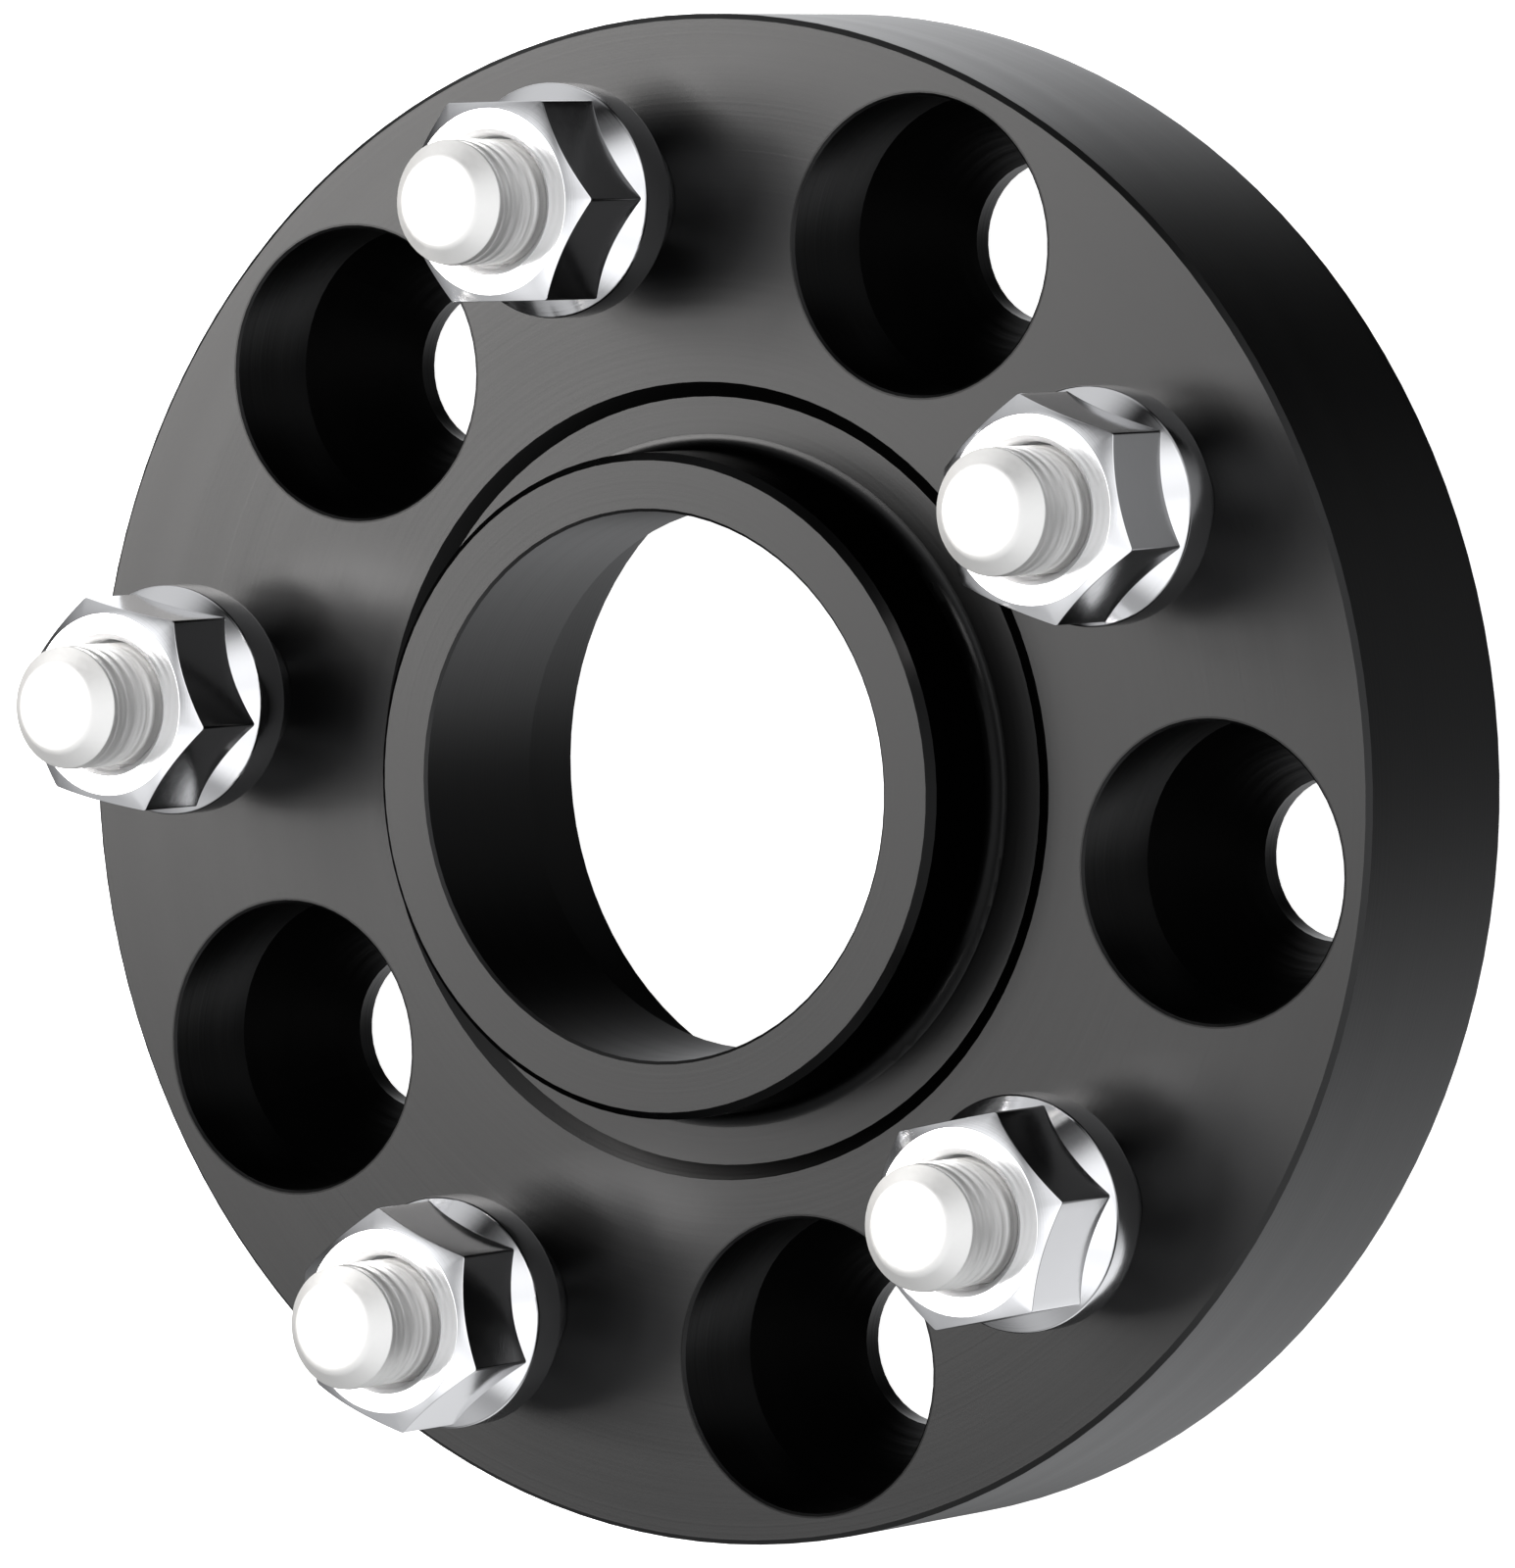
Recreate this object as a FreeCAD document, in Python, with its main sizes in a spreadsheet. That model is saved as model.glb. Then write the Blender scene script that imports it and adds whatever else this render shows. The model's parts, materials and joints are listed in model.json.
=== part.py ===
import FreeCAD
import Part
import Sketcher
import os

from FreeCAD import Placement, Rotation, Vector

# Hub-centric wheel spacer for a five-bolt hub.
#
# Frame: the origin is the centre of the back face, the one that sits on the hub. +Z runs along
# the axis towards the wheel, and +X passes through one of the five counterbored holes.
# All lengths are millimetres and all angles are degrees.

DOCUMENT_NAME = "wheel_spacer"
OUTPUT_FOLDER = "parts"

# The driving dimensions: name, value, what it measures.
SIZES = [
    # The spacer body
    ("body_diameter", 148.0, "outside of the ring"),
    ("body_thickness", 25.0, "hub face to wheel face"),
    ("front_edge_chamfer", 0.5, "broken edge at the wheel face"),
    ("back_edge_chamfer", 1.0, "broken edge at the hub face"),
    ("bolt_circle", 114.3, "circle of the studs and of the holes"),
    ("bolt_count", 5, "studs, and holes between them"),
    ("register_diameter", 64.1, "raised ring that centres the wheel"),
    ("register_height", 10.2, "how far that ring stands above the wheel face"),
    ("register_chamfer", 0.75, "lead-in on the ring's outer edge"),
    ("register_root_radius", 1.5, "fillet between the ring and the recess floor"),
    ("register_bore", 52.8, "straight bore inside the ring"),
    ("register_bore_chamfer", 0.3, "broken edge at the mouth of that bore"),
    ("hub_bore_diameter", 64.1, "bore that fits over the hub's own ring"),
    ("hub_bore_depth", 11.9, "length of the straight hub bore"),
    ("hub_bore_chamfer", 2.2, "lead-in at the hub face"),
    ("bore_shoulder_angle", 45.0, "slope of the shoulder between the two bores"),
    ("recess_floor_width", 5.1, "floor of the shallow recess round the register"),
    ("recess_wall_run", 1.45, "how far the recess's sloped wall runs outward"),
    ("recess_depth", 0.7, "how deep that recess is"),
    # The counterbored holes that take the hub's studs and nuts
    ("socket_diameter", 28.6, "counterbore, wide enough for a wheel socket"),
    ("socket_edge_chamfer", 0.25, "broken edge at its mouth"),
    ("seat_angle", 60.0, "full angle of every conical nut seat"),
    ("hub_stud_hole", 15.8, "hole below the seat"),
    ("hub_stud_land", 2.4, "length of that hole, measured from the hub face"),
    ("hub_stud_hole_chamfer", 0.3, "broken edge of that hole at the hub face"),
    # The studs and the holes they are pressed into
    ("stud_pocket_clearance", 0.5, "gap round the stud's head in its pocket"),
    ("stud_head_setback", 0.8, "how far the head lies below the hub face"),
    ("stud_hole_chamfer", 0.2, "broken edge of the stud's hole at the wheel face"),
    ("stud_head_diameter", 19.0, "head"),
    ("stud_head_thickness", 4.0, "head"),
    ("stud_head_chamfer", 0.8, "broken outer edge of the head"),
    ("spline_rise", 0.6, "tips of the serrations above the thread's outside"),
    ("spline_depth", 0.45, "depth of the grooves between them"),
    ("spline_length", 9.0, "serrated shoulder, measured from the head"),
    ("spline_count", 36, "serrations round the shoulder"),
    ("press_clearance", 0.02, "nominal gap between the serrations and their hole"),
    ("relief_depth", 0.6, "groove where the thread tool runs out"),
    ("relief_width", 2.0, "width of that groove"),
    ("thread_diameter", 12.0, "outside of the stud's thread"),
    ("stud_reach", 29.8, "tip of the stud above the wheel face"),
    ("stud_tip_chamfer", 1.9, "chamfer round the stud's tip"),
    # The nuts
    ("nut_height", 21.3, "seat end to outer end"),
    ("nut_across_flats", 19.0, "hexagon"),
    ("nut_corner_radius", 0.4, "rounded corners of the hexagon"),
    ("nut_seat_land", 0.47, "flat ring at the narrow end of the nut's seat"),
    ("nut_collar_margin", 0.33, "round collar beyond the hexagon's corners"),
    ("nut_collar_top", 11.1, "upper edge of the collar above the seat end"),
    ("nut_collar_edge_radius", 0.6, "rounded edges of the collar"),
    ("nut_bell_angle", 45.0, "slope from the collar up to the flats"),
    ("nut_bell_overlap", 0.5, "how far the bell runs inside the flats"),
    ("nut_end_inset", 0.6, "flat ring at the outer end, inside the flats"),
    ("nut_end_angle", 35.0, "slope of the chamfer across the hexagon's corners"),
    ("nut_end_countersink", 0.95, "depth of the thread's mouth at the outer end"),
    ("nut_seat_countersink", 0.55, "depth of the thread's mouth at the seat end"),
    ("nut_thread_clearance", 0.05, "gap between the stud's thread and the nut's bore"),
    ("nut_turn_1", 47.8, "where each nut's corner stopped when it was tightened"),
    ("nut_turn_2", 8.2, "second nut"),
    ("nut_turn_3", 55.9, "third nut"),
    ("nut_turn_4", 44.1, "fourth nut"),
    ("nut_turn_5", 19.0, "fifth nut"),
    # How far a cutting profile runs past the face that it opens through
    ("cut_overrun", 1.0, "length of that run"),
]
NUT_TURNS = [alias for alias, value, note in SIZES if alias.startswith("nut_turn_")]

# Sizes that several pieces share, worked out from the driving dimensions.
REGISTER_TOP = "(Sizes.body_thickness + Sizes.register_height)"
RECESS_FLOOR = "(Sizes.body_thickness - Sizes.recess_depth)"
STUD_POCKET_DEPTH = "(Sizes.stud_head_thickness + Sizes.stud_head_setback)"
SPLINE_RADIUS = "(Sizes.thread_diameter / 2 + Sizes.spline_rise)"
RELIEF_RADIUS = "(Sizes.thread_diameter / 2 - Sizes.relief_depth)"
NUT_BORE = "(Sizes.thread_diameter / 2 + Sizes.nut_thread_clearance)"
NUT_COLLAR = "(Sizes.nut_across_flats / sqrt(3) + Sizes.nut_collar_margin)"
NUT_SEAT_SMALL = f"({NUT_BORE} + Sizes.nut_seat_countersink + Sizes.nut_seat_land)"

# A fillet takes no more than this share of the narrower wall beside it.
FILLET_SHARE = 0.9

FULL_TURN = 360
# The numbers that a sketch uses for its axes, its origin and the two ends of a line
VERTICAL_AXIS, HORIZONTAL_AXIS = -2, -1
ORIGIN = (-1, 1)
START, END = 1, 2
LENGTH_TOLERANCE = 1e-4

doc = FreeCAD.newDocument(DOCUMENT_NAME)


def make_sheet():
    """Write the driving dimensions into a spreadsheet, one row each."""
    sheet = doc.addObject("Spreadsheet::Sheet", "Sizes")
    for row, (alias, value, note) in enumerate(SIZES, start=1):
        sheet.set(f"A{row}", alias)
        sheet.set(f"B{row}", str(value))
        sheet.set(f"C{row}", note)
        sheet.setAlias(f"B{row}", alias)
    doc.recompute()
    return sheet


sheet = make_sheet()


def size(expression):
    """The present value of an expression in the sheet's names."""
    return float(sheet.evalExpression(expression))


def bind(feature, path, expression):
    """Tie one property of a feature to the sheet."""
    feature.setExpression(path, expression)


def origin_feature(body, role):
    return next(o for o in body.Origin.OriginFeatures if o.Role == role)


def new_sketch(body, name, plane):
    sketch = body.newObject("Sketcher::SketchObject", name)
    sketch.AttachmentSupport = [(origin_feature(body, plane), "")]
    sketch.MapMode = "FlatFace"
    return sketch


def pin_point(sketch, geometry, end, across, along):
    """Tie one end of a line to its two coordinates in the sheet's names."""
    for kind, axis, expression in (
        ("DistanceX", VERTICAL_AXIS, across),
        ("DistanceY", HORIZONTAL_AXIS, along),
    ):
        if expression == "0":
            sketch.addConstraint(Sketcher.Constraint("PointOnObject", geometry, end, axis))
            continue
        index = sketch.addConstraint(
            Sketcher.Constraint(kind, *ORIGIN, geometry, end, size(expression))
        )
        bind(sketch, f"Constraints[{index}]", expression)


def draw_outline(sketch, corners):
    """A closed outline of straight lines. Each corner is a pair of expressions."""
    points = [Vector(size(across), size(along), 0) for across, along in corners]
    count = len(points)
    for i, point in enumerate(points):
        sketch.addGeometry(Part.LineSegment(point, points[(i + 1) % count]))
    for i in range(count):
        following = (i + 1) % count
        sketch.addConstraint(Sketcher.Constraint("Coincident", i, END, following, START))
    for i, (across, along) in enumerate(corners):
        pin_point(sketch, i, START, across, along)
    return count


def draw_upright_axis(sketch, geometry, across):
    """A construction line parallel to the part's axis, to revolve an outline about."""
    low = Vector(size(across), 0, 0)
    high = Vector(size(across), size("body_thickness"), 0)
    sketch.addGeometry(Part.LineSegment(low, high), True)
    pin_point(sketch, geometry, START, across, "0")
    pin_point(sketch, geometry, END, across, "Sizes.body_thickness")


def revolved(body, kind, name, corners):
    """Revolve an outline of (radius, height) corners about the body's own axis."""
    sketch = new_sketch(body, name + "_outline", "XZ_Plane")
    draw_outline(sketch, corners)
    feature = body.newObject(kind, name)
    feature.Profile = sketch
    feature.ReferenceAxis = (sketch, ["V_Axis"])
    feature.Angle = FULL_TURN
    sketch.Visibility = False
    return feature


def turn(body, name, corners):
    feature = revolved(body, "PartDesign::Revolution", name, corners)
    doc.recompute()
    return feature


def groove(body, name, corners):
    before = body.Shape.Volume
    feature = revolved(body, "PartDesign::Groove", name, corners)
    doc.recompute()
    require_less(body, before, name)
    return feature


def require_less(body, before, name):
    """A cut that misses the solid raises nothing by itself."""
    if body.Shape.Volume > before - LENGTH_TOLERANCE:
        raise RuntimeError(f"{body.Label}: {name} removed nothing")


def drilled_pattern(body, name, corners, start_angle):
    """Cut a stepped hole parallel to the axis on the bolt circle, then repeat it round it.

    The outline is (offset from the hole's own axis, height). start_angle places the first hole.
    """
    before = body.Shape.Volume
    sketch = new_sketch(body, name + "_outline", "XZ_Plane")
    hole_axis = "Sizes.bolt_circle / 2"
    shifted = [(f"{hole_axis} + {offset}", height) for offset, height in corners]
    lines = draw_outline(sketch, shifted)
    draw_upright_axis(sketch, lines, hole_axis)
    if start_angle:
        sketch.AttachmentOffset = Placement(Vector(), Rotation(Vector(0, 1, 0), size(start_angle)))
        bind(sketch, "AttachmentOffset.Rotation.Angle", start_angle)
    first = body.newObject("PartDesign::Groove", name)
    first.Profile = sketch
    first.ReferenceAxis = (sketch, ["Axis0"])
    first.Angle = FULL_TURN
    sketch.Visibility = False
    doc.recompute()
    require_less(body, before, name)
    return polar_pattern(body, name + "_ring", first, "Sizes.bolt_count")


def polar_pattern(body, name, original, count):
    before = body.Shape.Volume
    pattern = body.newObject("PartDesign::PolarPattern", name)
    pattern.Originals = [original]
    pattern.Axis = (origin_feature(body, "Z_Axis"), [""])
    pattern.Angle = FULL_TURN
    bind(pattern, "Occurrences", count)
    body.Tip = pattern
    doc.recompute()
    require_less(body, before, name)
    return pattern


def rim_edges(shape, radius, height):
    """Names of the circular edges about the axis with this radius at this height."""
    names = []
    for number, edge in enumerate(shape.Edges, start=1):
        if not isinstance(edge.Curve, Part.Circle):
            continue
        centre = edge.Curve.Center
        on_axis = abs(centre.x) < LENGTH_TOLERANCE and abs(centre.y) < LENGTH_TOLERANCE
        same_height = abs(centre.z - size(height)) < LENGTH_TOLERANCE
        same_radius = abs(edge.Curve.Radius - size(radius)) < LENGTH_TOLERANCE
        if on_axis and same_height and same_radius:
            names.append(f"Edge{number}")
    if not names:
        raise RuntimeError(f"no edge of radius {radius} at height {height}")
    return names


def upright_edges(shape, radius):
    """Names of the straight edges parallel to the axis at this distance from it."""
    names = []
    for number, edge in enumerate(shape.Edges, start=1):
        if not isinstance(edge.Curve, Part.Line):
            continue
        ends = [vertex.Point for vertex in edge.Vertexes]
        upright = (ends[0] - ends[1]).cross(Vector(0, 0, 1)).Length < LENGTH_TOLERANCE
        distance = Vector(ends[0].x, ends[0].y, 0).Length
        if upright and abs(distance - size(radius)) < LENGTH_TOLERANCE:
            names.append(f"Edge{number}")
    if not names:
        raise RuntimeError(f"no upright edge at {radius}")
    return names


def chamfer(body, name, radius, height, width):
    base = body.Tip
    feature = body.newObject("PartDesign::Chamfer", name)
    feature.Base = (base, rim_edges(base.Shape, radius, height))
    bind(feature, "Size", width)
    doc.recompute()
    return feature


def fillet(body, name, edges, radius):
    base = body.Tip
    feature = body.newObject("PartDesign::Fillet", name)
    feature.Base = (base, edges)
    bind(feature, "Radius", radius)
    doc.recompute()
    return feature


def on_bolt_circle(body, angle, height, turned=None):
    """Place a finished piece on the bolt circle, its own axis parallel to the spacer's."""
    if turned:
        body.Placement = Placement(Vector(), Rotation(Vector(0, 0, 1), size(turned)))
        bind(body, "Placement.Rotation.Angle", turned)
    bind(body, "Placement.Base.x", f"Sizes.bolt_circle / 2 * cos({angle})")
    bind(body, "Placement.Base.y", f"Sizes.bolt_circle / 2 * sin({angle})")
    bind(body, "Placement.Base.z", height)
    doc.recompute()


def make_spacer_body():
    """The aluminium ring: turned all over, then drilled from both faces."""
    body = doc.addObject("PartDesign::Body", "spacer_body")
    recess_corner = "Sizes.register_diameter / 2 + Sizes.recess_floor_width"
    bore_step = "(Sizes.hub_bore_diameter - Sizes.register_bore) / 2"
    turn(body, "turned_ring", [
        ("Sizes.hub_bore_diameter / 2", "0"),
        ("Sizes.body_diameter / 2", "0"),
        ("Sizes.body_diameter / 2", "Sizes.body_thickness"),
        (f"{recess_corner} + Sizes.recess_wall_run", "Sizes.body_thickness"),
        (recess_corner, RECESS_FLOOR),
        ("Sizes.register_diameter / 2", RECESS_FLOOR),
        ("Sizes.register_diameter / 2", REGISTER_TOP),
        ("Sizes.register_bore / 2", REGISTER_TOP),
        ("Sizes.register_bore / 2",
         f"Sizes.hub_bore_depth + {bore_step} * tan(Sizes.bore_shoulder_angle)"),
        ("Sizes.hub_bore_diameter / 2", "Sizes.hub_bore_depth"),
    ])
    chamfer(body, "wheel_face_edge", "Sizes.body_diameter / 2", "Sizes.body_thickness",
            "Sizes.front_edge_chamfer")
    chamfer(body, "hub_face_edge", "Sizes.body_diameter / 2", "0", "Sizes.back_edge_chamfer")
    chamfer(body, "hub_bore_lead_in", "Sizes.hub_bore_diameter / 2", "0",
            "Sizes.hub_bore_chamfer")
    chamfer(body, "register_lead_in", "Sizes.register_diameter / 2", REGISTER_TOP,
            "Sizes.register_chamfer")
    chamfer(body, "register_bore_edge", "Sizes.register_bore / 2", REGISTER_TOP,
            "Sizes.register_bore_chamfer")
    root = rim_edges(body.Tip.Shape, "Sizes.register_diameter / 2", RECESS_FLOOR)
    fillet(body, "register_root", root,
           f"min(Sizes.register_root_radius; {FILLET_SHARE} * Sizes.recess_floor_width)")

    # A hub stud comes through each of these holes, and its nut closes on the conical seat.
    seat_rise = "(Sizes.socket_diameter - Sizes.hub_stud_hole) / 2 / tan(Sizes.seat_angle / 2)"
    drilled_pattern(body, "hub_stud_hole", [
        ("0", "-Sizes.cut_overrun"),
        ("Sizes.hub_stud_hole / 2 + Sizes.hub_stud_hole_chamfer + Sizes.cut_overrun",
         "-Sizes.cut_overrun"),
        ("Sizes.hub_stud_hole / 2", "Sizes.hub_stud_hole_chamfer"),
        ("Sizes.hub_stud_hole / 2", "Sizes.hub_stud_land"),
        ("Sizes.socket_diameter / 2", f"Sizes.hub_stud_land + {seat_rise}"),
        ("Sizes.socket_diameter / 2", "Sizes.body_thickness - Sizes.socket_edge_chamfer"),
        ("Sizes.socket_diameter / 2 + Sizes.socket_edge_chamfer + Sizes.cut_overrun",
         "Sizes.body_thickness + Sizes.cut_overrun"),
        ("0", "Sizes.body_thickness + Sizes.cut_overrun"),
    ], None)

    # The studs stand midway between those holes.
    pocket_radius = "Sizes.stud_head_diameter / 2 + Sizes.stud_pocket_clearance"
    stud_hole_radius = f"{SPLINE_RADIUS} + Sizes.press_clearance"
    drilled_pattern(body, "stud_hole", [
        ("0", "-Sizes.cut_overrun"),
        (pocket_radius, "-Sizes.cut_overrun"),
        (pocket_radius, STUD_POCKET_DEPTH),
        (stud_hole_radius, STUD_POCKET_DEPTH),
        (stud_hole_radius, "Sizes.body_thickness - Sizes.stud_hole_chamfer"),
        (f"{stud_hole_radius} + Sizes.stud_hole_chamfer + Sizes.cut_overrun",
         "Sizes.body_thickness + Sizes.cut_overrun"),
        ("0", "Sizes.body_thickness + Sizes.cut_overrun"),
    ], f"{FULL_TURN} / 2 / Sizes.bolt_count")
    return body


def make_stud(name, angle):
    """A press-in wheel stud: head, serrated shoulder, thread with a chamfered tip."""
    body = doc.addObject("PartDesign::Body", name)
    head_bottom = "Sizes.stud_head_setback"
    shoulder_end = f"({STUD_POCKET_DEPTH} + Sizes.spline_length)"
    shoulder_lead = f"({SPLINE_RADIUS} - {RELIEF_RADIUS})"
    relief_end = f"({shoulder_end} + {shoulder_lead} + Sizes.relief_width)"
    tip = "(Sizes.body_thickness + Sizes.stud_reach)"
    turn(body, name + "_blank", [
        ("0", head_bottom),
        ("Sizes.stud_head_diameter / 2 - Sizes.stud_head_chamfer", head_bottom),
        ("Sizes.stud_head_diameter / 2", f"{head_bottom} + Sizes.stud_head_chamfer"),
        ("Sizes.stud_head_diameter / 2", STUD_POCKET_DEPTH),
        (SPLINE_RADIUS, STUD_POCKET_DEPTH),
        (SPLINE_RADIUS, shoulder_end),
        (RELIEF_RADIUS, f"{shoulder_end} + {shoulder_lead}"),
        (RELIEF_RADIUS, relief_end),
        ("Sizes.thread_diameter / 2", f"{relief_end} + Sizes.relief_depth"),
        ("Sizes.thread_diameter / 2", f"{tip} - Sizes.stud_tip_chamfer"),
        ("Sizes.thread_diameter / 2 - Sizes.stud_tip_chamfer", tip),
        ("0", tip),
    ])
    cut_serrations(body, name)
    on_bolt_circle(body, angle, "0")
    return body


def cut_serrations(body, name):
    """V-shaped grooves along the shoulder, rolled there to grip the pressed hole."""
    before = body.Shape.Volume
    sketch = new_sketch(body, name + "_serration", "XY_Plane")
    sketch.AttachmentOffset = Placement(Vector(0, 0, size(STUD_POCKET_DEPTH)), Rotation())
    bind(sketch, "AttachmentOffset.Base.z", STUD_POCKET_DEPTH)
    root = f"{SPLINE_RADIUS} - Sizes.spline_depth"
    outside = f"{SPLINE_RADIUS} + Sizes.spline_depth"
    # The groove closes to half the pitch at the tips, so flank and groove are alike.
    half_width = f"{SPLINE_RADIUS} * tan({FULL_TURN} / 2 / Sizes.spline_count)"
    draw_outline(sketch, [
        (root, "0"),
        (outside, half_width),
        (outside, f"-1 * {half_width}"),
    ])
    cut = body.newObject("PartDesign::Pocket", name + "_groove")
    cut.Profile = sketch
    cut.Type = "Length"
    cut.Reversed = True
    bind(cut, "Length", "Sizes.spline_length + Sizes.spline_depth")
    sketch.Visibility = False
    doc.recompute()
    require_less(body, before, name + "_groove")
    polar_pattern(body, name + "_serrations", cut, "Sizes.spline_count")


def make_nut(name, angle, turned):
    """An open-ended wheel nut: chamfered hexagon, bell, round collar and conical seat."""
    body = doc.addObject("PartDesign::Body", name)
    make_hexagon(body, name)
    chamfer_hexagon(body, name)

    # The bell and the hexagon overlap, so the flats run out on the bell's cone.
    seat_height = f"({NUT_COLLAR} - {NUT_SEAT_SMALL}) / tan(Sizes.seat_angle / 2)"
    bell_inside = "(Sizes.nut_across_flats / 2 - Sizes.nut_bell_overlap)"
    bell_rise = f"({NUT_COLLAR} - {bell_inside}) * tan(Sizes.nut_bell_angle)"
    bell_top = f"Sizes.nut_collar_top + {bell_rise}"
    turn(body, name + "_seat_and_collar", [
        ("0", "0"),
        (NUT_SEAT_SMALL, "0"),
        (NUT_COLLAR, seat_height),
        (NUT_COLLAR, "Sizes.nut_collar_top"),
        (bell_inside, bell_top),
        ("0", bell_top),
    ])
    edges = rim_edges(body.Tip.Shape, NUT_COLLAR, "Sizes.nut_collar_top")
    edges += rim_edges(body.Tip.Shape, NUT_COLLAR, seat_height)
    fillet(body, name + "_collar_edges", edges, "Sizes.nut_collar_edge_radius")

    mouth = f"{NUT_BORE} + Sizes.cut_overrun"
    groove(body, name + "_thread_bore", [
        ("0", "-Sizes.cut_overrun"),
        (f"{mouth} + Sizes.nut_seat_countersink", "-Sizes.cut_overrun"),
        (NUT_BORE, "Sizes.nut_seat_countersink"),
        (NUT_BORE, "Sizes.nut_height - Sizes.nut_end_countersink"),
        (f"{mouth} + Sizes.nut_end_countersink", "Sizes.nut_height + Sizes.cut_overrun"),
        ("0", "Sizes.nut_height + Sizes.cut_overrun"),
    ])
    on_bolt_circle(body, angle, "Sizes.body_thickness", turned)
    return body


def make_hexagon(body, name):
    """The hexagon, from the top of the collar to the outer end, with rounded corners."""
    sketch = new_sketch(body, name + "_hexagon_outline", "XY_Plane")
    sketch.AttachmentOffset = Placement(Vector(0, 0, size("nut_collar_top")), Rotation())
    bind(sketch, "AttachmentOffset.Base.z", "Sizes.nut_collar_top")
    corner = "Sizes.nut_across_flats / sqrt(3)"
    half_corner = f"{corner} / 2"
    flat = "Sizes.nut_across_flats / 2"
    draw_outline(sketch, [
        (corner, "0"),
        (half_corner, flat),
        (f"-1 * {half_corner}", flat),
        (f"-1 * {corner}", "0"),
        (f"-1 * {half_corner}", f"-1 * {flat}"),
        (half_corner, f"-1 * {flat}"),
    ])
    hexagon = body.newObject("PartDesign::Pad", name + "_hexagon")
    hexagon.Profile = sketch
    bind(hexagon, "Length", "Sizes.nut_height - Sizes.nut_collar_top")
    sketch.Visibility = False
    doc.recompute()
    fillet(body, name + "_corners", upright_edges(hexagon.Shape, corner),
           "Sizes.nut_corner_radius")


def chamfer_hexagon(body, name):
    """Turn the hexagon's outer end down to a cone, which leaves an arc on every flat."""
    end = "(Sizes.nut_across_flats / 2 - Sizes.nut_end_inset)"
    slope = "tan(Sizes.nut_end_angle)"
    outside = "(Sizes.nut_across_flats / sqrt(3) + Sizes.cut_overrun)"
    # The cone runs on past the end face, so the cut crosses that face and doesn't just touch it.
    groove(body, name + "_end_chamfer", [
        (f"{end} - Sizes.cut_overrun / {slope}", "Sizes.nut_height + Sizes.cut_overrun"),
        (outside, f"Sizes.nut_height - ({outside} - {end}) * {slope}"),
        (outside, "Sizes.nut_height + Sizes.cut_overrun"),
    ])


def check_document():
    """Stop if any feature failed, which a recompute doesn't raise by itself."""
    for item in doc.Objects:
        if "Invalid" in item.State or "Error" in item.State:
            raise RuntimeError(f"{item.Label} failed: {item.State}")


def export(pieces):
    os.makedirs(OUTPUT_FOLDER, exist_ok=True)
    for piece in pieces:
        shape = piece.Shape
        if shape.isNull() or not shape.isValid() or len(shape.Solids) != 1:
            raise RuntimeError(f"{piece.Label} is not one valid solid")
    for piece in pieces:
        piece.Shape.exportStep(os.path.join(OUTPUT_FOLDER, piece.Label + ".step"))
        print(f"{piece.Label}: {piece.Shape.Volume:.1f} mm3")


def make_all():
    pieces = [make_spacer_body()]
    for i in range(int(sheet.bolt_count)):
        # Half a step on from the holes
        angle = f"({i} + 1 / 2) * {FULL_TURN} / Sizes.bolt_count"
        turned = "Sizes." + NUT_TURNS[i % len(NUT_TURNS)]
        pieces.append(make_stud(f"wheel_stud_{i + 1}", angle))
        pieces.append(make_nut(f"wheel_nut_{i + 1}", angle, turned))
    return pieces


all_pieces = make_all()
doc.recompute()
check_document()
export(all_pieces)
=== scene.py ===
# %% [markdown]
# # A wheel spacer, dressed for its picture
#
# The object is a thick aluminium ring, anodised black, that sits between a car's hub and its wheel.
# Five steel studs are pressed into it from behind, and a bright plated nut is threaded on each.
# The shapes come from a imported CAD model, which loads first as a fixed frame in metres. Everything
# after that is looks: finishes for the ring, finer meshes for the threaded parts, and the light.
# The sizes of the model's mounts come with it, so they are read here and not written a second time.

import json
import math

import bpy
from mathutils import Matrix, Vector


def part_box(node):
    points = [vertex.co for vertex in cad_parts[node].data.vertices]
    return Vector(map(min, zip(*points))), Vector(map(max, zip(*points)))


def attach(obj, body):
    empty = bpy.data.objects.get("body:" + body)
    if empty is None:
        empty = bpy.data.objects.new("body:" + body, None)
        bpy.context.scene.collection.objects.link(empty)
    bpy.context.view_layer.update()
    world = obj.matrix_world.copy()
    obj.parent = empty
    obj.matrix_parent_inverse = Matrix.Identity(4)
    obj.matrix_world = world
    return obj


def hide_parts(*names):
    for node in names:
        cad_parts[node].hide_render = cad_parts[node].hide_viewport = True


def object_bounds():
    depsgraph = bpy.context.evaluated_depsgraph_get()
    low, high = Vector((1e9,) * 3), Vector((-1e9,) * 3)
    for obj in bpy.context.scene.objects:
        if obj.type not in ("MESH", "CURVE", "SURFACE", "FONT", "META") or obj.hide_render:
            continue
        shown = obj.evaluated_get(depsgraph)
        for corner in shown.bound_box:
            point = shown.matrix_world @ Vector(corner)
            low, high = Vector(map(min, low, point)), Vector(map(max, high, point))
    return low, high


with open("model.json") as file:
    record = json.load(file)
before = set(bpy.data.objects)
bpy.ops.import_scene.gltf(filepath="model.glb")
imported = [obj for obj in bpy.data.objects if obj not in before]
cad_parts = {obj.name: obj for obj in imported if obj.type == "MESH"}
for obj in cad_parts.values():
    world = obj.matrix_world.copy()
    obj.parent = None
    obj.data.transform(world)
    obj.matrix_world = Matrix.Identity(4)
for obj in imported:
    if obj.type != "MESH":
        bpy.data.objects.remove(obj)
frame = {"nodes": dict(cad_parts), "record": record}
cad_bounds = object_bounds()

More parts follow.
